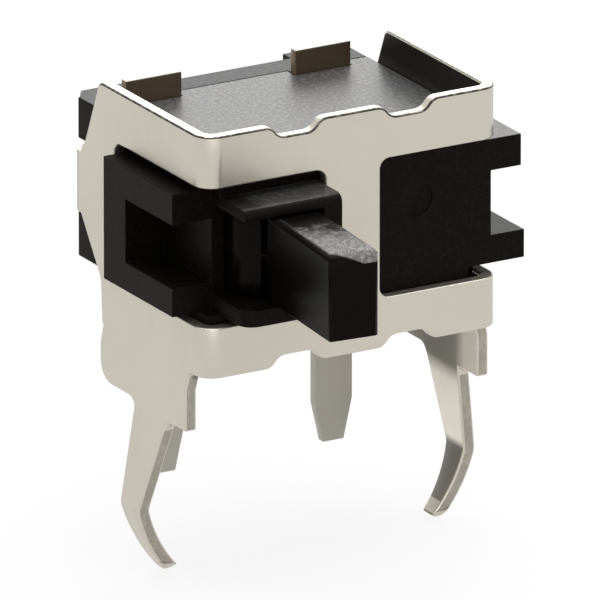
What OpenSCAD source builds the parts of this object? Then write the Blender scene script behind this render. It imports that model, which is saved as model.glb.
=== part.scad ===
// Lever-operated detector micro switch in a folded sheet-metal frame with snap-in legs.
// Millimetres. X runs along the front wall, Y from the front to the rear, Z up.
// Origin: middle of the front wall's outer face, on the plane of the circuit board.

/* [Frame] */
// Width over the two side walls
frame_w = 8; // [7.9:0.05:8.2]
// Thickness of the folded sheet
sheet_t = 0.3; // [0.25:0.01:0.3]
// Height of the top rim above the board
rim_z = 7.38; // [7.2:0.02:8]
// Height of the front band's lower edge above the board
band_z = 1.45; // [1.3:0.05:1.6]
// Length of the side walls along the top rim
rim_len = 4.9; // [4.5:0.05:5.2]
// Outer radius of the two front bends
bend_r = 0.5; // [0.45:0.01:0.7]
// Lower edge of the windows above the board
window_low = 2.69; // [2.65:0.01:2.75]
// Upper edge of the windows above the board
window_high = 6.1; // [6.03:0.01:6.2]
// Width of each notch in the rims
notch_w = 1.35; // [1.2:0.05:1.4]
// Depth of each notch in the rims
notch_d = 0.28; // [0.1:0.01:0.35]

/* [Legs] */
// Width of a leg at its knee
knee_w = 0.86; // [0.7:0.01:1]
// How far the knee stands out past the side wall
knee_out = 0.54; // [0.4:0.02:0.6]
// Depth of the knee below the board
knee_depth = 2.3; // [2:0.01:2.5]
// Depth of the leg tips below the board
tip_depth = 3.95; // [3.7:0.01:4]

/* [Mouldings] */
// Height of the housing's flat top above the board
top_z = 6.5; // [6.4:0.01:6.6]
// Height of the housing's underside above the board
bottom_z = 2.58; // [2.5:0.01:2.62]
// Distance from the front wall to the rear of the base's two shoulders
rear_y = 6.86; // [6.8:0.01:7.1]
// Distance from the front wall to the rear of the base between them
rear_mid_y = 6.48; // [6.3:0.01:6.6]
// Clearance round each piece that is pushed into another
fit_gap = 0.02; // [0.01:0.005:0.03]

/* [Lever] */
// Width of the finger
finger_w = 1.27; // [1.1:0.01:1.29]
// Distance from the pivot to the finger's flat tip
finger_len = 4.5; // [4:0.01:5]
// Radius of the lever's hub
hub_r = 1.16; // [1.1:0.01:1.17]
// Angle of the resting finger from straight ahead, towards the left
rest_angle = 4.5; // [3:0.5:8]
// Radius of the two pivot pins
pivot_r = 0.3; // [0.25:0.01:0.32]
// Radial clearance of the pivot pins in their bores
pivot_gap = 0.03; // [0.02:0.005:0.05]

/* [Terminals] */
// Distance between the two solder pins
pin_pitch = 4.56; // [4.5:0.02:4.64]
// Width of a solder pin
pin_w = 1.02; // [0.8:0.02:1.2]
// Width of a terminal's top tab
tab_w = 1.5; // [1.3:0.05:1.5]
// Thickness of the terminal strip
strip_t = 0.22; // [0.18:0.01:0.24]
// Depth of the pin tips below the board
pin_depth = 2.55; // [2.4:0.01:3]
// How far the top tabs stand up past the housing
tab_rise = 0.6; // [0.4:0.05:0.7]

/* [Hidden] */
EPS = 0.01;
FINE = 48;
half_w = frame_w / 2;
inner_w = half_w - sheet_t;

// Windows and notches of the frame.
bar_left = -0.72;
bar_right = 0.75;
window_back = 4.2;
window_r = 0.25;
notch_x = 1.5;
notch_slope = 0.46;

// Outline of a side wall.
flare_y = 5.58;
flare_z = 5.75;
wall_end = 5.84;
waist_y = 4.87;
waist_z = 2.55;
skirt_y = 4.75;
skirt_z = 0.12;
skirt_r = 0.5;
stub_front = 0.72;
leg_front = 1.6;
leg_rear = 3.12;
leg_root = 0.28;
leg_step = [0.08, 0.25];
knee_y = 2.55;
tip_y = 2.45;
tip_w = 0.5;

// Section of a leg: it leaves the wall by the splay, turns at the knee and curls inwards.
splay = 0.08;
splay_drop = 0.45;
wall_lap = 0.1;
knee_r = 0.6;
knee_start = 172;
knee_end = 195;
knee_trim = 5;
curl_r = 3.8;
curl_end = 222;

// Ears folded in behind the base's shoulders.
ear_bend = 0.44;
ear_low = 3.88;
ear_high = 5.4;
ear_reach = 0.95;
ear_slack = 0.02;
ear_play = 0.09;
ear_step = 0.05;
ear_y = wall_end + ear_bend;

// Mouldings.
core_w = inner_w - fit_gap;
core_front = sheet_t + fit_gap;
core_cut = 0.7 * (bend_r - sheet_t);
seam_y = 5.7;
seam_gap = 0.015;
plug_front = 5.1;
cavity_play = 0.06;
cavity_w = pin_pitch / 2 + tab_w / 2 + cavity_play;
cavity_front = 2.6;
floor_z = 3.28;
ceiling_z = 5.9;
corner_x = -2.85;
shoulder_x = 2.05;
chamfer = [0.3, 0.46];
pad_t = 0.14;
pad_front = core_front + pad_t;
pocket_drop = 0.35;

// Flanges that stand out through the side windows.
arm_front = 0.75;
arm_back = 4.0;
arm_low = 2.87;
arm_high = 5.89;
slot_low = 3.57;
slot_high = 5.12;
slot_back = 2.96;
slot_deep = -3.35;
flange_out = 4.4;
upper_lug_out = 4.73;
lower_lug_out = 4.82;
lug_low = 2.92;
lug_mid_low = 3.61;
lug_mid_high = 5.2;
lug_high = 5.98;
side_out = 3.92;

// Lever bay: the nose of the housing that holds the lever's hub.
pivot_x = -1.8;
pivot_y = 0.66;
bay_left = -3.37;
bay_right = -0.76;
bay_front = -0.85;
bay_low = 2.87;
bay_high = 5.77;
bay_round = 0.22;
bay_corner = 0.4;
roof_z = 5.5;
hub_gap = 0.06;
pillar_x = -1.25;
pivot_below = 0.45;
pivot_above = 0.55;
pin_low = floor_z - pivot_below;
pin_high = roof_z + pivot_above;
way_left = 1.0;
way_front = 0.4;
way_play = 0.2;

// Lever.
lever_low = floor_z + hub_gap;
lever_high = roof_z - hub_gap;
lever_edge = 0.16;
tip_left_r = 0.09;
tip_right_r = 0.13;
tip_round = 0.34;
round_slack = 4;
root_r = 0.36;

// Contacts and spring inside.
ring_t = 0.12;
ring_low = 3.85;
ring_high = 4.4;
ring_start = 60;
ring_end = 160;
leaf_t = 0.12;
leaf_inset = 0.06;
leaf_gap = 0.03;
leaf_shy = 0.35;
leaf_tail = 0.12;
leaf_left = [112, 100, 86];
leaf_right = [62, 48, 36];
leaf_out = 0.27;
leaf_in = 0.38;
leaf_left_x = -pin_pitch / 2 - leaf_out;
leaf_left_y = 2.9;
leaf_right_x = pin_pitch / 2 - leaf_in;
leaf_right_y = 3.6;
spring_seat_r = 0.86;
spring_seat_z = 4.1;
boss_r = 0.42;
spring_r = 0.64;
wire_r = 0.06;
spring_turns = 3;
spring_pitch = 0.18;
wire_sides = 8;
coil_steps = 24;

// Terminals.
tab_y = 5.34;
pin_y = 4.84;
jog_high = 5.35;
jog_low = 4.75;
pin_taper = 1.0;
pin_tip_w = 0.56;
pin_root = 0.3;

// Round ejector mark and the nick on the housing's front face.
mark_x = 1.91;
mark_z = 4.84;
mark_r = 0.42;
mark_deep = 0.05;
nick_x = 3.3;
nick_deep = 0.45;
nick_low = 2.62;

// Unit vector at angle a, in degrees from +X.
function unit(a) = [cos(a), sin(a)];

// Unit normal, to the left, of the step from point a to point b.
function normal(a, b) = [a[1] - b[1], b[0] - a[0]] / norm(b - a);

// Mitred normal at point i of the path p.
function mitre(p, i) =
    let (n = len(p),
         before = normal(p[max(i - 1, 0)], p[max(i, 1)]),
         after = normal(p[min(i, n - 2)], p[min(i + 1, n - 1)]))
    (before + after) / (1 + before * after);

// Flat outline of a strip of thickness t whose right-hand face follows the path p.
function strip_outline(p, t) =
    concat(p, [for (i = [len(p) - 1:-1:0]) p[i] + t * mitre(p, i)]);

// Points of an arc about c, radius r, from angle a0 to a1 in n steps.
function arc_points(c, r, a0, a1, n = 8) =
    [for (i = [0:n]) c + r * unit(a0 + (a1 - a0) * i / n)];

// Rectangle from corner a to corner b with rounded corners of radius r.
module rounded_window(a, b, r) {
    translate([a[0] + r, a[1]]) square([b[0] - a[0] - 2 * r, b[1] - a[1]]);
    translate([a[0], a[1] + r]) square([b[0] - a[0], b[1] - a[1] - 2 * r]);
    for (x = [a[0] + r, b[0] - r])
        for (y = [a[1] + r, b[1] - r])
            translate([x, y]) circle(r, $fn = FINE);
}

// Box from corner a to corner b.
module box(a, b) {
    translate(a) cube(b - a);
}

// The same thing on the left and, mirrored, on the right.
module both_sides() {
    children();
    mirror([1, 0, 0]) children();
}

// Stands a drawing of (Y, Z) upright, extruded from x0 to x1.
module along_x(x0, x1) {
    translate([x0, 0, 0]) rotate([90, 0, 90]) linear_extrude(x1 - x0) children();
}

// Stands a drawing of (X, Z) upright, extruded from y0 to y1.
module along_y(y0, y1) {
    translate([0, y1, 0]) rotate([90, 0, 0]) linear_extrude(y1 - y0) children();
}

// Moves a drawing made about the pivot to the lever's resting place.
module at_pivot() {
    translate([pivot_x, pivot_y, 0]) rotate(-rest_angle) children();
}

// ---- Frame: one folded sheet ----

// Outline of the side wall, its ear and its leg, as (Y, Z).
module side_outline() {
    polygon(concat(
        [[-1, rim_z], [rim_len, rim_z], [flare_y, flare_z], [wall_end, ear_high],
         [rear_y, ear_high], [rear_y, ear_low], [wall_end - ear_step, ear_low],
         [waist_y, waist_z], [skirt_y, skirt_z + skirt_r]],
        arc_points([skirt_y - skirt_r, skirt_z + skirt_r], skirt_r, 0, -90, 6),
        arc_points([leg_rear + leg_root, skirt_z - leg_root], leg_root, 90, 180, 6),
        [[knee_y + knee_w / 2, -knee_depth]],
        arc_points([tip_y, tip_w / 2 - tip_depth], tip_w / 2, 0, -180, 12),
        [[knee_y - knee_w / 2, -knee_depth], [leg_front + leg_step[0], -leg_step[1]], [leg_front, 0],
         [stub_front, 0], [stub_front, band_z], [-1, band_z]]));
}

// Section of the side wall below the band and of its bent leg, as (X, Z), for the left side.
module side_section() {
    knee = [-half_w - knee_out + knee_r, -knee_depth];
    curl = knee + (knee_r - curl_r) * unit(knee_end);
    polygon(strip_outline(
        concat([[-half_w, band_z + wall_lap], [-half_w, band_z], [-half_w - splay, band_z - splay_drop],
                [-half_w - splay, 0]],
               arc_points(knee, knee_r, knee_start, knee_end - knee_trim, 3),
               arc_points(curl, curl_r, knee_end, curl_end, 9)),
        sheet_t));
}

// One bend of outer radius r, in the quarter left of and before its centre.
module bend_plan(r) {
    intersection() {
        difference() {
            circle(r, $fn = FINE);
            circle(r - sheet_t, $fn = FINE);
        }
        translate([-2 * r, -2 * r]) square(2 * r);
    }
}

// Plan of the whole sheet: front wall, side walls and the ears folded in at the rear.
module sheet_plan() {
    translate([-half_w + bend_r, 0]) square([frame_w - 2 * bend_r, sheet_t]);
    both_sides() {
        translate([-half_w + bend_r, bend_r]) bend_plan(bend_r);
        translate([-half_w, bend_r]) square([sheet_t, wall_end - bend_r]);
        translate([-half_w + ear_bend, wall_end]) mirror([0, 1]) bend_plan(ear_bend);
        translate([-half_w + ear_bend, ear_y - sheet_t]) square([ear_reach - ear_bend, sheet_t]);
    }
}

// One trapezoid notch, cut downwards (way = -1) or upwards (way = 1).
module notch(way) {
    polygon([for (p = [[-1, -1], [-1, 1], [1, 1], [1, -1]])
        [p[0] * (notch_w - notch_slope * p[1]) / 2, way * p[1] * notch_d]]);
}

module frame() color("silver") difference() {
    intersection() {
        union() {
            translate([0, 0, band_z]) linear_extrude(rim_z - band_z) sheet_plan();
            both_sides() along_y(stub_front, skirt_y) side_section();
        }
        along_x(-half_w - 1, half_w + 1) side_outline();
    }
    along_y(-1, bend_r + EPS) {
        rounded_window([-half_w - 1, window_low], [bar_left, window_high], window_r);
        rounded_window([bar_right, window_low], [half_w + 1, window_high], window_r);
    }
    along_x(-half_w - 1, half_w + 1)
        intersection() {
            rounded_window([-1, window_low], [window_back, window_high], window_r);
            translate([bend_r, 0]) square([window_back, rim_z]);
        }
    along_y(-1, sheet_t + EPS)
        for (x = [-notch_x, notch_x]) {
            translate([x, rim_z]) notch(-1);
            translate([x, band_z]) notch(1);
        }
}

// ---- Housing: the front moulding ----

// Plan of the housing's core, its front corners cut off to clear the frame's bends.
module core_plan() {
    polygon([[-core_w, core_front + core_cut], [-core_w + core_cut, core_front],
             [core_w - core_cut, core_front], [core_w, core_front + core_cut],
             [core_w, seam_y - seam_gap], [-core_w, seam_y - seam_gap]]);
}

// Nose that holds the lever's hub between a roof and a floor.
module bay() {
    along_x(bay_left, bay_right)
        polygon(concat(
            [[pad_front, roof_z], [pad_front, bay_high]],
            arc_points([bay_front + bay_round, bay_high - bay_round], bay_round, 90, 180, 6),
            [[bay_front, roof_z]]));
    translate([0, 0, bay_low]) linear_extrude(floor_z - bay_low)
        polygon(concat(
            [[bay_right, pad_front], [bay_left, pad_front]],
            arc_points([bay_left + bay_corner, bay_front + bay_corner], bay_corner, 180, 270, 6),
            [[bay_right, bay_front]]));
    difference() {
        box([pillar_x, bay_front, bay_low], [bay_right, pad_front, roof_z + EPS]);
        hub_pocket();
    }
}

// Round pocket in which the hub turns.
module hub_pocket() {
    translate([pivot_x, pivot_y, floor_z])
        cylinder(h = roof_z - floor_z, r = hub_r + hub_gap, $fn = FINE);
}

// The two blind bores of the pivot.
module pivot_bores() {
    translate([pivot_x, pivot_y, pin_low - fit_gap])
        cylinder(h = pin_high - pin_low + 2 * fit_gap, r = pivot_r + pivot_gap, $fn = FINE);
}

// Left flange: an upper and a lower arm joined at the rear.
module left_flange() {
    difference() {
        box([-flange_out, arm_front, arm_low], [-core_w + EPS, arm_back, arm_high]);
        box([-flange_out - 1, arm_front - 1, slot_low], [0, slot_back, slot_high]);
    }
}

// Right flange: two lugs, joined at the rear, on a pad that fills the side window.
module right_flange() {
    box([core_w - core_cut - EPS, core_front, lug_low], [side_out, arm_back, lug_high]);
    box([side_out - EPS, core_front, lug_low], [lower_lug_out, arm_back, lug_mid_low]);
    box([side_out - EPS, core_front, lug_mid_high], [upper_lug_out, arm_back, lug_high]);
    box([side_out - EPS, slot_back, lug_mid_low - EPS], [upper_lug_out, arm_back, lug_mid_high + EPS]);
}

// Notches at the rear edge for the two terminals and the base's pads.
module rear_openings(slack) {
    both_sides() {
        box([-pin_pitch / 2 - tab_w / 2 - slack, tab_y - slack, ceiling_z - EPS],
            [-pin_pitch / 2 + tab_w / 2 + slack, seam_y + EPS, top_z + 1]);
        box([-pin_pitch / 2 - tab_w / 2 - slack, pin_y - slack, bottom_z - 1],
            [-pin_pitch / 2 + tab_w / 2 + slack, seam_y + EPS, floor_z + EPS]);
    }
}

module housing() color("dimgray") difference() {
    union() {
        translate([0, 0, bottom_z]) linear_extrude(top_z - bottom_z) core_plan();
        bay();
        left_flange();
        right_flange();
    }
    hub_pocket();
    pivot_bores();
    // Front left corner, stepped back beside the hub.
    box([-core_w - EPS, 0, floor_z], [corner_x, arm_front, roof_z]);
    box([-core_w - EPS, 0, bay_low], [bay_left, arm_front, window_high]);
    // Recess behind the slot of the left flange.
    box([-core_w - 1, arm_front - EPS, slot_low], [slot_deep, slot_back, slot_high]);
    // Contact chamber, open to the rear, and its way through to the hub.
    box([-cavity_w, cavity_front, floor_z], [cavity_w, seam_y, ceiling_z]);
    box([pivot_x - way_left, pivot_y + way_front, ring_low - way_play],
        [cavity_w, cavity_front + EPS, ring_high + way_play]);
    rear_openings(fit_gap);
    // Round ejector mark on the front face and a nick in its lower corner.
    translate([mark_x, core_front - EPS, mark_z]) rotate([-90, 0, 0])
        cylinder(h = mark_deep + EPS, r = mark_r, $fn = FINE);
    box([nick_x, 0, nick_low], [core_w + EPS, core_front + nick_deep, lug_low]);
}

// ---- Base: the rear moulding ----

// Plan of the base behind the seam, with chamfered rear corners.
module base_plan() {
    translate([-core_w, seam_y]) square([2 * core_w, rear_mid_y - seam_y]);
    both_sides()
        polygon([[-core_w, seam_y], [-shoulder_x, seam_y], [-shoulder_x, rear_y],
                 [-core_w + chamfer[0], rear_y], [-core_w, rear_y - chamfer[1]]]);
}

module base() color("dimgray") difference() {
    union() {
        translate([0, 0, bottom_z]) linear_extrude(top_z - bottom_z) base_plan();
        // Plug that closes the contact chamber.
        box([-cavity_w + fit_gap, plug_front, floor_z + fit_gap],
            [cavity_w - fit_gap, seam_y + EPS, ceiling_z - fit_gap]);
        both_sides() {
            // Pads that back a terminal above and below.
            box([-pin_pitch / 2 - tab_w / 2, tab_y + strip_t + fit_gap, ceiling_z - fit_gap - EPS],
                [-pin_pitch / 2 + tab_w / 2, seam_y + EPS, top_z]);
            box([-pin_pitch / 2 - tab_w / 2, pin_y + strip_t + fit_gap, bottom_z],
                [-pin_pitch / 2 + tab_w / 2, seam_y + EPS, floor_z + fit_gap + EPS]);
        }
    }
    both_sides() {
        // Pocket of the terminal's upper half.
        box([-cavity_w, 0, jog_low - pocket_drop],
            [-pin_pitch / 2 + tab_w / 2 + fit_gap, tab_y + strip_t + fit_gap, top_z + 1]);
        // Pocket of the folded ear, open to the side and the rear.
        box([-core_w - 1, ear_y - sheet_t - ear_slack, ear_low - ear_play],
            [-half_w + ear_reach + ear_play, rear_y + 1, ear_high + ear_play]);
    }
}

// ---- Lever ----

// Plan of the finger: a flat tip, its left corner sharp and its right corner rounded.
module finger_plan() {
    w = finger_w / 2;
    polygon(concat([[w, -hub_r / 2], [-w, -hub_r / 2]],
                   arc_points([tip_left_r - w, tip_left_r - finger_len], tip_left_r, 180, 270, 4),
                   arc_points([w - tip_right_r, tip_right_r - finger_len], tip_right_r, 270, 360)));
}

// Cross-section that rounds the finger's two long top edges, as (X, Z).
module finger_section() {
    w = finger_w / 2;
    c = [w - lever_edge, lever_high - lever_edge];
    polygon(concat([[2 * w, lever_low - 1], [2 * w, c[1]]],
                   arc_points(c, lever_edge, round_slack, 90, 6),
                   arc_points([-c[0], c[1]], lever_edge, 90, 180 - round_slack, 6),
                   [[-2 * w, c[1]], [-2 * w, lever_low - 1]]));
}

// Side view that rounds the top of the finger's tip, as (Y, Z).
module finger_side() {
    c = [tip_round - finger_len, lever_high - tip_round];
    polygon(concat([[0, lever_low - 1], [-finger_len - 1, lever_low - 1], [-finger_len - 1, c[1]]],
                   arc_points(c, tip_round, 180 - round_slack, 90 + round_slack),
                   [[c[0], lever_high + 1], [0, lever_high + 1]]));
}

// Finger about the pivot, its tip towards -Y.
module finger() {
    intersection() {
        translate([0, 0, lever_low]) linear_extrude(lever_high - lever_low + 1) finger_plan();
        along_y(-finger_len - 1, 0) finger_section();
        along_x(-finger_w, finger_w) finger_side();
    }
}

// Hollow fillet between the hub and the finger's left flank, in plan.
module root_fillet() {
    out = finger_w / 2 + root_r;
    centre = [-out, -sqrt(pow(hub_r + root_r, 2) - out * out)];
    difference() {
        polygon([[0, 0], [0, centre[1]], centre, centre * hub_r / (hub_r + root_r)]);
        translate(centre) circle(root_r, $fn = FINE);
    }
}

// Plan of the contact band: a ring of thickness t round part of the hub.
module ring_plan(r, t) {
    intersection() {
        difference() {
            circle(r, $fn = FINE);
            circle(r - t, $fn = FINE);
        }
        polygon(concat([[0, 0]], arc_points([0, 0], 2 * hub_r, ring_start, ring_end, 4)));
    }
}

module lever() color("black") at_pivot() {
    difference() {
        union() {
            translate([0, 0, lever_low])
                cylinder(h = lever_high - lever_low, r = hub_r, $fn = FINE);
            finger();
            translate([0, 0, lever_low]) linear_extrude(lever_high - lever_low) root_fillet();
        }
        // Seat of the contact band.
        translate([0, 0, ring_low]) linear_extrude(ring_high - ring_low)
            ring_plan(hub_r + EPS, ring_t + fit_gap + EPS);
        // Seat of the spring, open below.
        translate([0, 0, lever_low - EPS]) difference() {
            cylinder(h = spring_seat_z - lever_low, r = spring_seat_r, $fn = FINE);
            translate([0, 0, -EPS])
                cylinder(h = spring_seat_z - lever_low + 1, r = boss_r, $fn = FINE);
        }
    }
    translate([0, 0, pin_low]) cylinder(h = pin_high - pin_low, r = pivot_r, $fn = FINE);
}

module moving_contact() color("gold") at_pivot()
    translate([0, 0, ring_low + fit_gap])
        linear_extrude(ring_high - ring_low - 2 * fit_gap) ring_plan(hub_r, ring_t);

// Ring of points round the wire at angle a along the coil, at height z.
function coil_ring(a, z) = [for (k = [0:wire_sides - 1])
    let (r = spring_r + wire_r * cos(360 * k / wire_sides))
    [r * cos(a), r * sin(a), z + wire_r * sin(360 * k / wire_sides)]];

module return_spring() color("lightgray")
translate([pivot_x, pivot_y, floor_z + wire_r + fit_gap]) {
    n = wire_sides;
    steps = coil_steps * spring_turns;
    points = [for (i = [0:steps]) each coil_ring(360 * i / coil_steps, spring_pitch * i / coil_steps)];
    sides = [for (i = [0:steps - 1]) for (k = [0:n - 1])
        [i * n + k, i * n + (k + 1) % n, (i + 1) * n + (k + 1) % n, (i + 1) * n + k]];
    polyhedron(points, concat([[for (k = [n - 1:-1:0]) k]],
                              sides, [[for (k = [0:n - 1]) steps * n + k]]));
}

// ---- Terminals ----

// Outline of the strip with its top tab and solder pin, as (X, Z) about its own middle.
module strip_front() {
    for (side = [-1, 1])
        polygon([[0, top_z + tab_rise], [side * tab_w / 2, top_z + tab_rise],
                 [side * tab_w / 2, bottom_z + pin_root], [side * pin_w / 2, bottom_z + pin_root],
                 [side * pin_w / 2, pin_taper - pin_depth], [side * pin_tip_w / 2, -pin_depth],
                 [0, -pin_depth]]);
}

// Side view of the strip, as (Y, Z): the pin stands further forward than the tab.
module strip_side() {
    polygon(strip_outline([[tab_y, top_z + tab_rise], [tab_y, jog_high],
                           [pin_y, jog_low], [pin_y, -pin_depth]], strip_t));
}

// Terminal at x, with a leaf spring bent forward along the path.
module terminal(x, path) {
    intersection() {
        along_x(x - tab_w, x + tab_w) strip_side();
        along_y(0, rear_y) translate([x, 0]) strip_front();
    }
    translate([0, 0, ring_low + leaf_inset])
        linear_extrude(ring_high - ring_low - 2 * leaf_inset)
            polygon(strip_outline(path, leaf_t));
}

// Point at distance hub_r + d from the pivot, at angle a.
function hub_point(a, d) = [pivot_x, pivot_y] + (hub_r + d) * unit(a);

module terminal_left() color("tan")
    terminal(-pin_pitch / 2,
             [[leaf_left_x, pin_y + EPS], [leaf_left_x, leaf_left_y],
              hub_point(leaf_left[0], leaf_shy), hub_point(leaf_left[1], leaf_gap),
              hub_point(leaf_left[2], leaf_tail)]);

module terminal_right() color("tan")
    terminal(pin_pitch / 2,
             [hub_point(leaf_right[0], leaf_tail), hub_point(leaf_right[1], leaf_gap),
              hub_point(leaf_right[2], leaf_shy), [leaf_right_x, leaf_right_y],
              [leaf_right_x, pin_y + EPS]]);

frame();
housing();
base();
lever();
moving_contact();
return_spring();
terminal_left();
terminal_right();
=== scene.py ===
"""Looks of a lever-operated micro switch: plated sheet frame, black mouldings, smooth lever, tinned strips.

The scene is in metres and in the CAD part's frame: X along the front wall, Y to the rear, Z up from the
board. Places and sizes on the part are named in millimetres.
"""
import math

import bmesh
import bpy
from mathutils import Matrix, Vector


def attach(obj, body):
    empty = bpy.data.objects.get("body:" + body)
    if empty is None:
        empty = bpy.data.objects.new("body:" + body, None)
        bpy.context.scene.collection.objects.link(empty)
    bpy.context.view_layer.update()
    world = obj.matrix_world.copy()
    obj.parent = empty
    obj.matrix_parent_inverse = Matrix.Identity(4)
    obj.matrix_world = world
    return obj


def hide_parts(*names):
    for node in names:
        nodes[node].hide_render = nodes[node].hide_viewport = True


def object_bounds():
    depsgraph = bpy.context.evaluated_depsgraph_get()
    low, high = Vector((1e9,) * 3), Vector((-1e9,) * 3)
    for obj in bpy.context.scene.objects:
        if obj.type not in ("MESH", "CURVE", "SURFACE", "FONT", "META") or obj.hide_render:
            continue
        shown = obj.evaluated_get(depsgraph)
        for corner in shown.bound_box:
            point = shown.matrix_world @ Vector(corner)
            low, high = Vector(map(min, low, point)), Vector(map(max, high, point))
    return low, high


MM = 0.001

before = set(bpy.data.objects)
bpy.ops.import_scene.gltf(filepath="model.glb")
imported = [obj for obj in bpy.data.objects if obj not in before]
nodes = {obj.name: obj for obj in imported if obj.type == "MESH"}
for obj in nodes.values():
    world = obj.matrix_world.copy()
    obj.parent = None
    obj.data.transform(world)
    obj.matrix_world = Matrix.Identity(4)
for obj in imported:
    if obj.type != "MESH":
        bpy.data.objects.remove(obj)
cad_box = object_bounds()


# ---------------------------------------------------------------- named places and sizes, in millimetres

# The frame's sheet: where its side walls, its bends, its legs and its rim are.
WALL_INSIDE, WALL_REAR = 3.68, 5.9
BEND_START, BEND_DEEP = 3.48, 0.52
LEG_TOP = 1.4
RIM_FROM = 6.3
# (height, factor) pairs: painted shade and painted reflections on the sheet's inner faces, as factors on its
# colour, from the legs' ends upwards. Below 1 they are painted shade: below the legs' knees, under the front
# band and on the walls' inner faces, darkest near the rim. Above 1 they are a painted reflection of the floor
# on the legs' middles.
INNER_SHADE = [
    (-4.0, 0.38), (-2.9, 0.29), (-2.3, 0.25), (-2.1, 1.35), (-0.5, 1.35),
    (-0.05, 0.40), (6.3, 0.40), (6.5, 0.18), (6.75, 0.045), (7.4, 0.045)]
# A ramp's colours end at 1, so it holds the factors as shares of SHADE_TOP.
SHADE_TOP = 2.0
# Up to SHADE_ABOVE the factors fade in from SHADE_FRONT to SHADE_REAR, behind the sheet's front.
SHADE_ABOVE = 3.0
SHADE_FRONT, SHADE_REAR = 1.35, 1.75

# Rounded edges: every edge that turns by more than SHARP, once points nearer than MERGE are one and faces that
# turn by less than FLAT are joined.
SHARP = math.radians(28.0)
FLAT = math.radians(0.6)
MERGE = 0.0005
EDGE_STEPS = 2
# The corners of the sheet's outline, where both cut faces have more than CORNER_FACE square millimetres.
CORNER_ROUND, CORNER_STEPS = 0.14, 4
CORNER_FACE = 0.08
CORNER_REAR, CORNER_LOW = 5.0, -3.0

# Faces of the mouldings that look up and get a painted sheen, light grey as of light grazing off them:
# the flat top, the nose's roof and the lugs. Towards the roof's left end the painted sheen fades into painted
# shadow.
TOP_FROM = 6.4
ROOF_FROM, ROOF_BACK = 5.7, 0.32
LUG_FROM = 4.0
SHEEN_TOP = 6.2
SHEEN_LEFT, SHEEN_FULL = -3.0, -2.6

# The darker, browner faces of the terminals' tabs, from the housing's top to just below their cut ends.
TAB_LOW, TAB_HIGH = 6.4, 7.07

# The painted highlight on top of the finger, which fades in over a small height. On the right of the tip the
# top rolls over from ROLL_START to ROLL_END, and the painted highlight reaches lower there.
HIGHLIGHT_FLAT, HIGHLIGHT_ROLLED, HIGHLIGHT_SOFT = 5.41, 5.13, 0.03
HIGHLIGHT_LEFT, HIGHLIGHT_RIGHT = -2.75, -1.9
HIGHLIGHT_TIP, HIGHLIGHT_ROOT = -3.95, -2.25
ROLL_END, ROLL_START = -3.84, -3.48


# ---------------------------------------------------------------- node helpers

def new_material(name):
    """Node material whose tree is still empty; returns (material, tree)."""
    material = bpy.data.materials.new(name)
    material.use_nodes = True
    tree = material.node_tree
    tree.nodes.clear()
    return material, tree


def add(tree, kind, values=None, **settings):
    """One node of that kind, its properties set from settings and its input sockets from values."""
    node = tree.nodes.new(kind)
    for key, value in settings.items():
        setattr(node, key, value)
    for key, value in (values or {}).items():
        node.inputs[key].default_value = value
    return node


def join(tree, *pairs):
    """Links each (from socket, to socket) pair."""
    for a, b in pairs:
        tree.links.new(a, b)


def group_sockets(name, inputs, outputs):
    """New shader node group with inputs (name, socket type, default) and outputs (name, socket type).

    Returns the group, its input node and its output node.
    """
    group = bpy.data.node_groups.new(name, "ShaderNodeTree")
    for label, kind, value in inputs:
        socket = group.interface.new_socket(label, in_out="INPUT", socket_type=kind)
        socket.default_value = value
    for label, kind in outputs:
        group.interface.new_socket(label, in_out="OUTPUT", socket_type=kind)
    return group, group.nodes.new("NodeGroupInput"), group.nodes.new("NodeGroupOutput")


def place_group(tree, group, **values):
    """The group as a node in the tree, with its inputs set; underscores in keywords stand for blanks."""
    node = tree.nodes.new("ShaderNodeGroup")
    node.node_tree = group
    for key, value in values.items():
        node.inputs[key.replace("_", " ")].default_value = value
    return node


def ramp(tree, stops):
    """Colour ramp with the given (position, colour) stops."""
    node = tree.nodes.new("ShaderNodeValToRGB")
    band = node.color_ramp
    while len(band.elements) < len(stops):
        band.elements.new(0.5)
    for element, (position, colour) in zip(band.elements, stops):
        element.position = position
        element.color = (*colour, 1.0)
    return node


FLOAT, VECTOR = "NodeSocketFloat", "NodeSocketVector"


# ---------------------------------------------------------------- shared effects

def make_grain_group():
    """Spark-eroded skin: two sizes of rounded bumps. Out come their height and a mask of the high spots."""
    group, into, out = group_sockets(
        "spark_grain",
        [("Coarse Scale", FLOAT, 9000.0), ("Fine Scale", FLOAT, 30000.0), ("Fine Share", FLOAT, 0.4)],
        [("Height", FLOAT), ("Peaks", FLOAT)])
    place = add(group, "ShaderNodeTexCoord")
    coarse = add(group, "ShaderNodeTexNoise", {"Detail": 2.0, "Roughness": 0.55})
    fine = add(group, "ShaderNodeTexNoise", {"Detail": 1.0, "Roughness": 0.5})
    mixed = add(group, "ShaderNodeMix", data_type="FLOAT")
    peaks = add(group, "ShaderNodeMapRange", {"From Min": 0.46, "From Max": 0.62},
                interpolation_type="SMOOTHSTEP")
    join(group,
         (place.outputs["Object"], coarse.inputs["Vector"]),
         (place.outputs["Object"], fine.inputs["Vector"]),
         (into.outputs["Coarse Scale"], coarse.inputs["Scale"]),
         (into.outputs["Fine Scale"], fine.inputs["Scale"]),
         (into.outputs["Fine Share"], mixed.inputs["Factor"]),
         (coarse.outputs["Fac"], mixed.inputs["A"]), (fine.outputs["Fac"], mixed.inputs["B"]),
         (mixed.outputs["Result"], peaks.inputs["Value"]),
         (mixed.outputs["Result"], out.inputs["Height"]), (peaks.outputs["Result"], out.inputs["Peaks"]))
    return group


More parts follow.
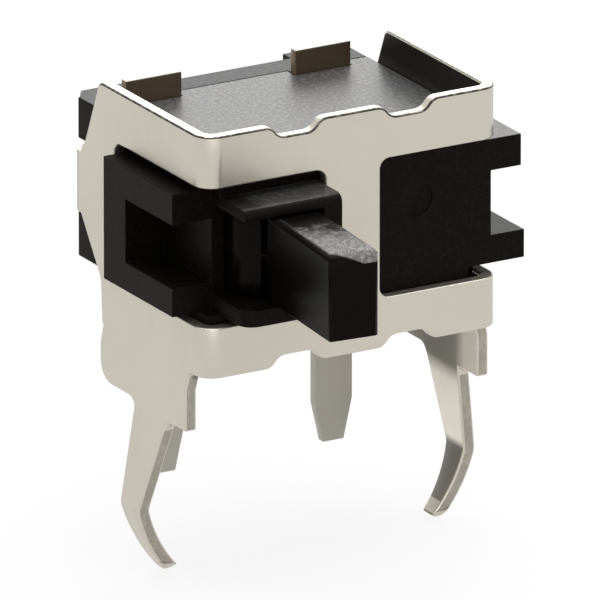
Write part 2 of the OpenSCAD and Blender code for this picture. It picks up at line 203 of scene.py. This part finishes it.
def make_rolled_group():
    """Rolled, plated sheet: broad clouds in the plating and faint scratches drawn along one direction."""
    group, into, out = group_sockets(
        "rolled_sheet",
        [("Cloud Scale", FLOAT, 350.0), ("Grain Scale", FLOAT, 6000.0),
         ("Stretch", VECTOR, (1.0, 1.0, 0.06))],
        [("Clouds", FLOAT), ("Grain", FLOAT)])
    place = add(group, "ShaderNodeTexCoord")
    clouds = add(group, "ShaderNodeTexNoise", {"Detail": 3.0, "Roughness": 0.5})
    drawn = add(group, "ShaderNodeVectorMath", operation="MULTIPLY")
    grain = add(group, "ShaderNodeTexNoise", {"Detail": 2.0, "Roughness": 0.6})
    join(group,
         (place.outputs["Object"], clouds.inputs["Vector"]), (place.outputs["Object"], drawn.inputs[0]),
         (into.outputs["Stretch"], drawn.inputs[1]), (drawn.outputs["Vector"], grain.inputs["Vector"]),
         (into.outputs["Cloud Scale"], clouds.inputs["Scale"]),
         (into.outputs["Grain Scale"], grain.inputs["Scale"]),
         (clouds.outputs["Fac"], out.inputs["Clouds"]), (grain.outputs["Fac"], out.inputs["Grain"]))
    return group


def make_highlight_group():
    """Painted highlight on the lever's finger top: 1 near the tip, fading with a ragged edge towards the hub.

    The patch starts at height Flat on the finger's top. At the tip it starts lower, down to height Rolled on
    the right, where the top rolls over. Slant is the direction across the patch's ragged edge.
    """
    group, into, out = group_sockets(
        "painted_highlight_top",
        [("Flat", FLOAT, HIGHLIGHT_FLAT * MM), ("Rolled", FLOAT, HIGHLIGHT_ROLLED * MM),
         ("Left", FLOAT, HIGHLIGHT_LEFT * MM), ("Right", FLOAT, HIGHLIGHT_RIGHT * MM),
         ("Tip", FLOAT, HIGHLIGHT_TIP * MM), ("Root", FLOAT, HIGHLIGHT_ROOT * MM),
         ("Ragged Scale", FLOAT, 3800.0), ("Slant", VECTOR, (0.5, 1.0, 0.0))],
        [("Mask", FLOAT)])
    place = add(group, "ShaderNodeTexCoord")
    axes = add(group, "ShaderNodeSeparateXYZ")
    patches = add(group, "ShaderNodeTexNoise", {"Detail": 4.0, "Roughness": 0.7})
    lean = add(group, "ShaderNodeVectorMath", operation="DOT_PRODUCT")
    along = add(group, "ShaderNodeMapRange", {"To Min": 1.15, "To Max": -0.3})
    ragged = add(group, "ShaderNodeMapRange", {"From Min": 0.35, "From Max": 0.65, "To Min": -0.3,
                                               "To Max": 0.3})
    total = add(group, "ShaderNodeMath", operation="ADD", use_clamp=True)
    start = add(group, "ShaderNodeMapRange", {"From Min": ROLL_END * MM, "From Max": ROLL_START * MM})
    slant = add(group, "ShaderNodeMapRange")
    rise = add(group, "ShaderNodeMath", operation="SUBTRACT")
    above = add(group, "ShaderNodeMapRange", {"From Max": HIGHLIGHT_SOFT * MM}, interpolation_type="SMOOTHSTEP")
    mask = add(group, "ShaderNodeMath", operation="MULTIPLY")
    join(group,
         (place.outputs["Object"], axes.inputs["Vector"]),
         (place.outputs["Object"], patches.inputs["Vector"]),
         (into.outputs["Ragged Scale"], patches.inputs["Scale"]),
         (patches.outputs["Fac"], ragged.inputs["Value"]),
         (place.outputs["Object"], lean.inputs[0]), (into.outputs["Slant"], lean.inputs[1]),
         (lean.outputs["Value"], along.inputs["Value"]), (into.outputs["Tip"], along.inputs["From Min"]),
         (into.outputs["Root"], along.inputs["From Max"]),
         (along.outputs["Result"], total.inputs[0]), (ragged.outputs["Result"], total.inputs[1]),
         (axes.outputs["Y"], start.inputs["Value"]), (slant.outputs["Result"], start.inputs["To Min"]),
         (axes.outputs["X"], slant.inputs["Value"]), (into.outputs["Left"], slant.inputs["From Min"]),
         (into.outputs["Right"], slant.inputs["From Max"]), (into.outputs["Flat"], slant.inputs["To Min"]),
         (into.outputs["Rolled"], slant.inputs["To Max"]),
         (into.outputs["Flat"], start.inputs["To Max"]),
         (axes.outputs["Z"], rise.inputs[0]), (start.outputs["Result"], rise.inputs[1]),
         (rise.outputs["Value"], above.inputs["Value"]),
         (total.outputs["Value"], mask.inputs[0]), (above.outputs["Result"], mask.inputs[1]),
         (mask.outputs["Value"], out.inputs["Mask"]))
    return group


def make_zone_group():
    """Zones of a sheared sheet, from the face attributes cut, line and inside.

    Shade multiplies the sheet's colour: torn streaks on cut faces; a broken painted dark line, painted shade,
    where the rim's edge rolls over; and on inner faces painted shade and painted reflections, darker or
    brighter with the height, as in INNER_SHADE.
    """
    group, into, out = group_sockets(
        "sheet_zones",
        [("Torn Depth", FLOAT, 0.44), ("Painted Line Depth", FLOAT, 0.95), ("Inside Painted Light", FLOAT, 1.0)],
        [("Shade", FLOAT)])
    place = add(group, "ShaderNodeTexCoord")
    noise = add(group, "ShaderNodeTexNoise", {"Scale": 6000.0, "Detail": 2.0, "Roughness": 0.5})
    ragged = add(group, "ShaderNodeMapRange", {"From Min": 0.36, "From Max": 0.56, "To Min": 0.8})
    axes = add(group, "ShaderNodeSeparateXYZ")
    # Painted shade and painted reflections on inner faces: by height, and below SHADE_ABOVE only further back.
    low, high = INNER_SHADE[0][0], INNER_SHADE[-1][0]
    rise = add(group, "ShaderNodeMapRange", {"From Min": low * MM, "From Max": high * MM})
    shades = ramp(group, [((height - low) / (high - low), (factor / SHADE_TOP,) * 3)
                          for height, factor in INNER_SHADE])
    depth = add(group, "ShaderNodeMath", {1: -SHADE_TOP, 2: 1.0}, operation="MULTIPLY_ADD")
    behind = add(group, "ShaderNodeMapRange", {"From Min": SHADE_FRONT * MM, "From Max": SHADE_REAR * MM})
    above = add(group, "ShaderNodeMath", {1: SHADE_ABOVE * MM}, operation="GREATER_THAN")
    where = add(group, "ShaderNodeMath", operation="MAXIMUM")
    painted_light = add(group, "ShaderNodeMath", operation="MULTIPLY")
    join(group,
         (place.outputs["Object"], noise.inputs["Vector"]), (noise.outputs["Fac"], ragged.inputs["Value"]),
         (place.outputs["Object"], axes.inputs["Vector"]), (axes.outputs["Z"], rise.inputs["Value"]),
         (rise.outputs["Result"], shades.inputs["Fac"]), (shades.outputs["Color"], depth.inputs[0]),
         (axes.outputs["Y"], behind.inputs["Value"]), (axes.outputs["Z"], above.inputs[0]),
         (behind.outputs["Result"], where.inputs[0]), (above.outputs["Value"], where.inputs[1]),
         (depth.outputs["Value"], painted_light.inputs[0]), (where.outputs["Value"], painted_light.inputs[1]))
    total = None
    # Cut faces get their own torn streaks; the rim's line gets painted shade, the inner faces painted shade
    # and painted reflections.
    for zone_name, strength, varied in (("cut", "Torn Depth", ragged.outputs["Result"]),
                                        ("line", "Painted Line Depth", ragged.outputs["Result"]),
                                        ("inside", "Inside Painted Light", painted_light.outputs["Value"])):
        zone = add(group, "ShaderNodeAttribute", attribute_name=zone_name)
        amount = add(group, "ShaderNodeMath", operation="MULTIPLY")
        uneven = add(group, "ShaderNodeMath", operation="MULTIPLY")
        spared = add(group, "ShaderNodeMath", {0: 1.0}, operation="SUBTRACT")
        join(group,
             (zone.outputs["Fac"], amount.inputs[0]), (into.outputs[strength], amount.inputs[1]),
             (amount.outputs["Value"], uneven.inputs[0]), (varied, uneven.inputs[1]),
             (uneven.outputs["Value"], spared.inputs[1]))
        if total:
            both = add(group, "ShaderNodeMath", operation="MULTIPLY")
            join(group, (total.outputs["Value"], both.inputs[0]), (spared.outputs["Value"], both.inputs[1]))
            spared = both
        total = spared
    join(group, (total.outputs["Value"], out.inputs["Shade"]))
    return group


def make_sheen_group():
    """Painted sheen on upward faces: 1 on the flat top, elsewhere Part, fading in from Left to Full."""
    group, into, out = group_sockets(
        "painted_sheen_places",
        [("Left", FLOAT, SHEEN_LEFT * MM), ("Full", FLOAT, SHEEN_FULL * MM), ("Part", FLOAT, 0.5)],
        [("Mask", FLOAT)])
    place = add(group, "ShaderNodeTexCoord")
    axes = add(group, "ShaderNodeSeparateXYZ")
    fade = add(group, "ShaderNodeMapRange")
    top = add(group, "ShaderNodeMath", {1: SHEEN_TOP * MM}, operation="GREATER_THAN")
    either = add(group, "ShaderNodeMath", operation="MAXIMUM")
    join(group,
         (place.outputs["Object"], axes.inputs["Vector"]),
         (axes.outputs["X"], fade.inputs["Value"]), (into.outputs["Left"], fade.inputs["From Min"]),
         (into.outputs["Full"], fade.inputs["From Max"]), (into.outputs["Part"], fade.inputs["To Max"]),
         (axes.outputs["Z"], top.inputs[0]),
         (fade.outputs["Result"], either.inputs[0]), (top.outputs["Value"], either.inputs[1]),
         (either.outputs["Value"], out.inputs["Mask"]))
    return group


def make_height_group():
    """Mask that is 1 from height Low to height High and 0 elsewhere."""
    group, into, out = group_sockets(
        "height_band", [("Low", FLOAT, TAB_LOW * MM), ("High", FLOAT, TAB_HIGH * MM)], [("Mask", FLOAT)])
    place = add(group, "ShaderNodeTexCoord")
    axes = add(group, "ShaderNodeSeparateXYZ")
    above = add(group, "ShaderNodeMath", operation="GREATER_THAN")
    below = add(group, "ShaderNodeMath", operation="LESS_THAN")
    band = add(group, "ShaderNodeMath", operation="MULTIPLY")
    join(group,
         (place.outputs["Object"], axes.inputs["Vector"]),
         (axes.outputs["Z"], above.inputs[0]), (into.outputs["Low"], above.inputs[1]),
         (axes.outputs["Z"], below.inputs[0]), (into.outputs["High"], below.inputs[1]),
         (above.outputs["Value"], band.inputs[0]), (below.outputs["Value"], band.inputs[1]),
         (band.outputs["Value"], out.inputs["Mask"]))
    return group


GRAIN = make_grain_group()
ZONES = make_zone_group()
ABOVE = make_height_group()
PAINTED_HIGHLIGHT = make_highlight_group()
PAINTED_SHEEN = make_sheen_group()
ROLLED = make_rolled_group()


# ---------------------------------------------------------------- materials

# The tint of the mouldings' reflections.
SMOKE = (1.0, 0.93, 0.85)
# How metallic the sheets are, how deep their scratches are in metres, and how far these change the roughness.
SATIN = 0.86
SCRATCH = 1.0e-7
ROUGH_LESS, ROUGH_MORE = 0.03, 0.04


def bumped(tree, height, shader, distance):
    """Turns a height into the shader's normal."""
    bump = add(tree, "ShaderNodeBump", {"Distance": distance, "Strength": 1.0})
    join(tree, (height, bump.inputs["Height"]), (bump.outputs["Normal"], shader.inputs["Normal"]))


def metal_sheet(name, dark, light, rough, stretch, zones=False, tab_colour=None):
    """Plated sheet metal: clouded colour, grain that varies the roughness a little and a very low bump.

    With zones, the face attributes of a sheared sheet shade it. Where a tab colour is given, the terminal's
    tab above the housing has it.
    """
    material, tree = new_material(name)
    sheet = place_group(tree, ROLLED, Stretch=stretch)
    tint = ramp(tree, [(0.35, dark), (0.65, light)])
    gloss = add(tree, "ShaderNodeMapRange", {"From Min": 0.3, "From Max": 0.7, "To Min": rough - ROUGH_LESS,
                                             "To Max": rough + ROUGH_MORE})
    shader = add(tree, "ShaderNodeBsdfPrincipled", {"Metallic": SATIN})
    out = add(tree, "ShaderNodeOutputMaterial")
    join(tree,
         (sheet.outputs["Clouds"], tint.inputs["Fac"]), (sheet.outputs["Grain"], gloss.inputs["Value"]),
         (gloss.outputs["Result"], shader.inputs["Roughness"]),
         (shader.outputs["BSDF"], out.inputs["Surface"]))
    colour = tint.outputs["Color"]
    if zones:
        zone = place_group(tree, ZONES)
        shade = add(tree, "ShaderNodeMix", {"Factor": 1.0}, data_type="RGBA", blend_type="MULTIPLY")
        join(tree, (colour, shade.inputs["A"]), (zone.outputs["Shade"], shade.inputs["B"]))
        colour = shade.outputs["Result"]
    if tab_colour:
        top = place_group(tree, ABOVE)
        shade = add(tree, "ShaderNodeMix", {"B": (*tab_colour, 1.0)}, data_type="RGBA")
        join(tree, (top.outputs["Mask"], shade.inputs["Factor"]), (colour, shade.inputs["A"]))
        colour = shade.outputs["Result"]
    join(tree, (colour, shader.inputs["Base Color"]))
    bumped(tree, sheet.outputs["Grain"], shader, SCRATCH)
    return material


def moulded_black(name, dark, light, rough, height, coarse, fine, level, highlight_greys=None, unsheened=None):
    """Black moulding with a spark-eroded skin: worn high spots are a little lighter than the hollows.

    Coarse and fine are the scales of its bumps, height is how high they stand, and level is the strength of
    its reflections. A given pair (dark, light) of greyer colours is a painted highlight on top of the finger.
    A colour given for the places without the painted sheen, such as the roof's left end in painted shadow,
    goes there.
    """
    material, tree = new_material(name)
    skin = place_group(tree, GRAIN, Coarse_Scale=coarse, Fine_Scale=fine)
    tint = ramp(tree, [(0.0, dark), (1.0, light)])
    shader = add(tree, "ShaderNodeBsdfPrincipled", {"Roughness": rough, "Specular IOR Level": level,
                                                    "Specular Tint": (*SMOKE, 1.0)})
    out = add(tree, "ShaderNodeOutputMaterial")
    colour = tint.outputs["Color"]
    if highlight_greys:
        # Painted highlight on top of the finger, in greyer colours.
        top = place_group(tree, PAINTED_HIGHLIGHT)
        grey = ramp(tree, [(0.0, highlight_greys[0]), (1.0, highlight_greys[1])])
        shade = add(tree, "ShaderNodeMix", data_type="RGBA")
        join(tree,
             (skin.outputs["Peaks"], grey.inputs["Fac"]), (top.outputs["Mask"], shade.inputs["Factor"]),
             (colour, shade.inputs["A"]), (grey.outputs["Color"], shade.inputs["B"]))
        colour = shade.outputs["Result"]
    if unsheened:
        # Painted sheen on the up-facing faces, left out towards the roof's left end as painted shadow.
        places = place_group(tree, PAINTED_SHEEN)
        shade = add(tree, "ShaderNodeMix", {"A": (*unsheened, 1.0)}, data_type="RGBA")
        join(tree, (places.outputs["Mask"], shade.inputs["Factor"]), (colour, shade.inputs["B"]))
        colour = shade.outputs["Result"]
    join(tree,
         (skin.outputs["Peaks"], tint.inputs["Fac"]), (colour, shader.inputs["Base Color"]),
         (shader.outputs["BSDF"], out.inputs["Surface"]))
    bumped(tree, skin.outputs["Height"], shader, height)
    return material


plated_steel = metal_sheet(
    "plated_steel", dark=(0.570, 0.533, 0.458), light=(0.600, 0.563, 0.488), rough=0.34,
    stretch=(1.0, 1.0, 0.3), zones=True)
tinned_brass = metal_sheet(
    "tinned_brass", dark=(0.37, 0.352, 0.31), light=(0.41, 0.392, 0.35), rough=0.40,
    stretch=(1.0, 1.0, 0.2), tab_colour=(0.17, 0.128, 0.085))
contact_brass = metal_sheet(
    "contact_brass", dark=(0.72, 0.56, 0.30), light=(0.80, 0.64, 0.36), rough=0.25, stretch=(1.0, 1.0, 0.3))
spring_steel = metal_sheet(
    "spring_steel", dark=(0.58, 0.58, 0.58), light=(0.66, 0.66, 0.65), rough=0.28, stretch=(1.0, 1.0, 1.0))
eroded_black = moulded_black(
    "eroded_black", dark=(0.0036, 0.0030, 0.0023), light=(0.0070, 0.0059, 0.0047), rough=0.45,
    height=6.0e-6, coarse=11000.0, fine=30000.0, level=0.06)
# Up-facing faces of the front moulding: their light grey is a painted sheen, with painted shadow at the roof's
# left end.
sheen_painted_black = moulded_black(
    "sheen_painted_black", dark=(0.052, 0.052, 0.052), light=(0.132, 0.132, 0.131), rough=0.42,
    height=9.0e-6, coarse=10000.0, fine=28000.0, level=0.24, unsheened=(0.006, 0.0052, 0.0042))
# Top of the rear moulding: a fainter painted sheen.
sheen_painted_rear = moulded_black(
    "sheen_painted_rear", dark=(0.018, 0.018, 0.018), light=(0.046, 0.046, 0.045), rough=0.42,
    height=9.0e-6, coarse=10000.0, fine=28000.0, level=0.08)
# The lever: its greyer pair is a painted highlight on top of the finger.
glossy_black = moulded_black(
    "glossy_black", dark=(0.0030, 0.0025, 0.0020), light=(0.005, 0.004, 0.003), rough=0.24,
    height=6.0e-7, coarse=9000.0, fine=26000.0, level=0.05,
    highlight_greys=((0.19, 0.188, 0.185), (0.36, 0.357, 0.350)))


# ---------------------------------------------------------------- pieces

def dress(node, material):
    """Gives a CAD node its material."""
    mesh = nodes[node].data
    mesh.materials.clear()
    mesh.materials.append(material)


# Bounds on the components of a face's unit normal, by which the faces are told apart.
UPRIGHT = 0.1
ACROSS, ALONG = 0.3, 0.97
INWARDS = 0.6
STEEP = 0.5
RIM_TILT = 0.2
UPWARD = 0.9
# How much of the torn streaks a cut face has that looks up or down. Keeping them faint there paints the
# rim's top lighter, a painted highlight.
LEVEL_CUT = 0.2


def sheet_zone(face):
    """(cut, line, inside) of a face of the frame, in millimetres.

    The sheet's broad sides have the normal of the wall they are in. A cut face lies across it, a line is the
    narrow rounding between the two along the rim's outer edge, where a painted dark line goes, and an inside
    face looks at the housing and gets painted shade and painted reflections.
    """
    centre, normal = face.calc_center_median(), face.normal
    in_side = abs(centre.x) > WALL_INSIDE and centre.y < WALL_REAR
    in_bend = abs(centre.x) > BEND_START and centre.y < BEND_DEEP and abs(normal.z) < UPRIGHT
    if in_bend:
        broad = 1.0
    elif in_side and centre.z < LEG_TOP:
        broad = math.hypot(normal.x, normal.z)
    else:
        broad = abs(normal.x if in_side else normal.y)
    inwards = normal.x * centre.x < -INWARDS * abs(centre.x) if in_side else normal.y > INWARDS
    cut = 0.0 if broad > ACROSS else 1.0 if abs(normal.z) < STEEP else LEVEL_CUT
    painted_line = ACROSS < broad < ALONG and centre.z > RIM_FROM and normal.z > RIM_TILT and not inwards
    return cut, float(painted_line), float(broad > ALONG and inwards)


def blank_corner(edge):
    """True for a corner of the sheet's outline: an edge between two cut faces that are large enough.

    The ears' roots and the ends of the legs stay as they are.
    """
    middle = (edge.verts[0].co + edge.verts[1].co) / 2
    return middle.y < CORNER_REAR and middle.z > CORNER_LOW and all(
        sheet_zone(face)[0] > 0.0 and face.calc_area() > CORNER_FACE for face in edge.link_faces)


def upward(face):
    """True for a face of the flat top, of the nose's roof or of a lug on the right, in millimetres."""
    centre = face.calc_center_median()
    on_roof_or_lug = centre.z > ROOF_FROM and (centre.y < ROOF_BACK or centre.x > LUG_FROM)
    return face.normal.z > UPWARD and (centre.z > TOP_FROM or on_roof_or_lug)


def sharp_edges(work, shortest=0.0):
    """Edges that turn by more than SHARP; with a shortest length, only raised ones that are longer."""
    edges = [edge for edge in work.edges if len(edge.link_faces) == 2 and edge.calc_face_angle() > SHARP]
    return [edge for edge in edges if not shortest or (edge.is_convex and edge.calc_length() > shortest)]


def round_off(work, edges, width, steps, clamp=False):
    """Rounds these edges over width millimetres in so many steps. Clamp narrows it where faces are small."""
    bmesh.ops.bevel(work, geom=edges, offset=width, offset_type="OFFSET", segments=steps, profile=0.5,
                    affect="EDGES", clamp_overlap=clamp)


def rounded_copy(node, name, body, material, width, zones=False, upper=None, clamp=False,
                 shortest=0.0):
    """Copy of a CAD node with its sharp edges rounded over width millimetres, standing for the node.

    The work is done in millimetres: the copy is merged, its flat faces are joined, and then its sharp edges
    are rounded. With zones, the corners of the sheet's outline are rounded more, and the face attributes cut,
    line and inside are filled. Where upper is a material, the faces that look up get it, with its painted
    sheen.
    """
    mesh = nodes[node].data.copy()
    mesh.name = name
    work = bmesh.new()
    work.from_mesh(mesh)
    bmesh.ops.scale(work, vec=(1 / MM,) * 3, verts=work.verts)
    bmesh.ops.remove_doubles(work, verts=work.verts, dist=MERGE)
    bmesh.ops.dissolve_limit(work, angle_limit=FLAT, verts=work.verts, edges=work.edges)
    if zones:
        corners = [edge for edge in sharp_edges(work) if blank_corner(edge)]
        round_off(work, corners, CORNER_ROUND, CORNER_STEPS)
    round_off(work, sharp_edges(work, shortest), width, EDGE_STEPS, clamp)
    values = [sheet_zone(face) for face in work.faces] if zones else []
    slots = [1 if upper and upward(face) else 0 for face in work.faces]
    bmesh.ops.scale(work, vec=(MM,) * 3, verts=work.verts)
    work.to_mesh(mesh)
    work.free()
    if mesh.has_custom_normals:
        mesh.attributes.remove(mesh.attributes["custom_normal"])
    for label, column in zip(("cut", "line", "inside"), zip(*values)):
        mesh.attributes.new(label, "FLOAT", "FACE").data.foreach_set("value", column)
    mesh.shade_smooth()
    mesh.materials.clear()
    mesh.materials.append(material)
    if upper:
        mesh.materials.append(upper)
        mesh.polygons.foreach_set("material_index", slots)
    piece = bpy.data.objects.new(name, mesh)
    bpy.context.scene.collection.objects.link(piece)
    piece.modifiers.new("even_shading", "WEIGHTED_NORMAL").mode = "FACE_AREA"
    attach(piece, body)
    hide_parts(node)


rounded_copy("frame", "folded_sheet", "body", plated_steel, width=0.045, zones=True)
rounded_copy("housing", "front_moulding", "body", eroded_black, width=0.035, upper=sheen_painted_black,
             clamp=True)
rounded_copy("base", "rear_moulding", "body", eroded_black, width=0.035, upper=sheen_painted_rear)
rounded_copy("lever", "lever_moulding", "lever", glossy_black, width=0.025, shortest=0.15)
rounded_copy("terminal_left", "left_strip", "body", tinned_brass, width=0.02)
rounded_copy("terminal_right", "right_strip", "body", tinned_brass, width=0.02)
dress("moving_contact", contact_brass)
dress("return_spring", spring_steel)


# ---------------------------------------------------------------- floor, light and camera

FLOOR_Z = cad_box[0].z
FLOOR_HALF = 0.6
FLOOR_WHITE = 0.87
ROOM_LIGHT = 0.15
LIGHT_AIM = (0.0, 0.002, 0.003)
VIEW_YAW = math.radians(-29.9)
VIEW_RISE = math.radians(19.0)
VIEW_WIDTH = 14.02 * MM
VIEW_DISTANCE = 0.62
AIM = Vector((0.0, 3.0, 3.45)) * MM
AIM_RIGHT, AIM_DOWN = 0.271 * MM, 1.484 * MM
SENSOR = 36.0
NEAR, FAR = 0.05, 10.0


def looking(tree):
    """Socket that is 1 for rays that show the background: seen, reflected and transmitted ones."""
    path = add(tree, "ShaderNodeLightPath")
    first = add(tree, "ShaderNodeMath", operation="MAXIMUM")
    either = add(tree, "ShaderNodeMath", operation="MAXIMUM")
    join(tree,
         (path.outputs["Is Camera Ray"], first.inputs[0]),
         (path.outputs["Is Glossy Ray"], first.inputs[1]),
         (first.outputs["Value"], either.inputs[0]),
         (path.outputs["Is Transmission Ray"], either.inputs[1]))
    return either.outputs["Value"]


def floor_material():
    """Matt floor that the camera and reflections see as plain white, with a trace of the part's shadow."""
    material, tree = new_material("white_floor")
    matt = add(tree, "ShaderNodeBsdfDiffuse", {"Color": (0.86, 0.86, 0.85, 1.0)})
    faint = add(tree, "ShaderNodeBsdfDiffuse", {"Color": (0.12, 0.12, 0.12, 1.0)})
    white = add(tree, "ShaderNodeEmission", {"Color": (1.0, 1.0, 1.0, 1.0), "Strength": FLOOR_WHITE})
    shown = add(tree, "ShaderNodeAddShader")
    mixed = add(tree, "ShaderNodeMixShader")
    out = add(tree, "ShaderNodeOutputMaterial")
    join(tree,
         (faint.outputs["BSDF"], shown.inputs[0]), (white.outputs["Emission"], shown.inputs[1]),
         (looking(tree), mixed.inputs["Fac"]),
         (matt.outputs["BSDF"], mixed.inputs[1]), (shown.outputs["Shader"], mixed.inputs[2]),
         (mixed.outputs["Shader"], out.inputs["Surface"]))
    return material


def make_floor():
    """A square floor at the height of the legs' tips."""
    half = FLOOR_HALF
    mesh = bpy.data.meshes.new("floor")
    mesh.from_pydata([(-half, -half, FLOOR_Z), (half, -half, FLOOR_Z), (half, half, FLOOR_Z),
                      (-half, half, FLOOR_Z)], [], [(0, 1, 2, 3)])
    mesh.materials.append(floor_material())
    floor = bpy.data.objects.new("floor", mesh)
    bpy.context.scene.collection.objects.link(floor)


def soft_box(name, place, size, power):
    """Rectangular soft light of so many watts at place, aimed at the part's middle."""
    data = bpy.data.lights.new(name, "AREA")
    data.shape = "RECTANGLE"
    data.size, data.size_y = size
    data.energy = power
    lamp = bpy.data.objects.new(name, data)
    lamp.location = place
    lamp.rotation_euler = (Vector(place) - Vector(LIGHT_AIM)).to_track_quat("Z", "Y").to_euler()
    bpy.context.scene.collection.objects.link(lamp)


def make_world():
    """Even dim room that is white where it is seen past the floor, also in reflections."""
    world = bpy.data.worlds.new("room")
    bpy.context.scene.world = world
    world.use_nodes = True
    tree = world.node_tree
    tree.nodes.clear()
    room = add(tree, "ShaderNodeBackground", {"Color": (1.0, 1.0, 1.0, 1.0), "Strength": ROOM_LIGHT})
    white = add(tree, "ShaderNodeBackground", {"Color": (1.0, 1.0, 1.0, 1.0), "Strength": 1.0})
    mixed = add(tree, "ShaderNodeMixShader")
    out = add(tree, "ShaderNodeOutputWorld")
    join(tree,
         (looking(tree), mixed.inputs["Fac"]),
         (room.outputs["Background"], mixed.inputs[1]), (white.outputs["Background"], mixed.inputs[2]),
         (mixed.outputs["Shader"], out.inputs["Surface"]))


def make_camera():
    """Long lens, so that parallel edges stay parallel, turned to look from the left front and above."""
    back = Vector((math.sin(VIEW_YAW) * math.cos(VIEW_RISE), -math.cos(VIEW_YAW) * math.cos(VIEW_RISE),
                   math.sin(VIEW_RISE)))
    right = Vector((math.cos(VIEW_YAW), math.sin(VIEW_YAW), 0.0))
    up = back.cross(right)
    data = bpy.data.cameras.new("camera")
    data.sensor_width = SENSOR
    data.lens = SENSOR * VIEW_DISTANCE / VIEW_WIDTH
    data.clip_start, data.clip_end = NEAR, FAR
    camera = bpy.data.objects.new("camera", data)
    camera.rotation_mode = "QUATERNION"
    camera.rotation_quaternion = back.to_track_quat("Z", "Y")
    camera.location = AIM + AIM_RIGHT * right - AIM_DOWN * up + VIEW_DISTANCE * back
    bpy.context.scene.collection.objects.link(camera)
    bpy.context.scene.camera = camera


make_floor()
make_world()
soft_box("overhead", place=(0.03, 0.02, 0.22), size=(0.26, 0.26), power=0.62)
soft_box("front_left", place=(-0.07, -0.20, 0.10), size=(0.20, 0.16), power=0.12)
soft_box("behind_right", place=(0.09, 0.15, 0.075), size=(0.16, 0.09), power=0.16)
make_camera()

bpy.context.scene.view_settings.view_transform = "Standard"
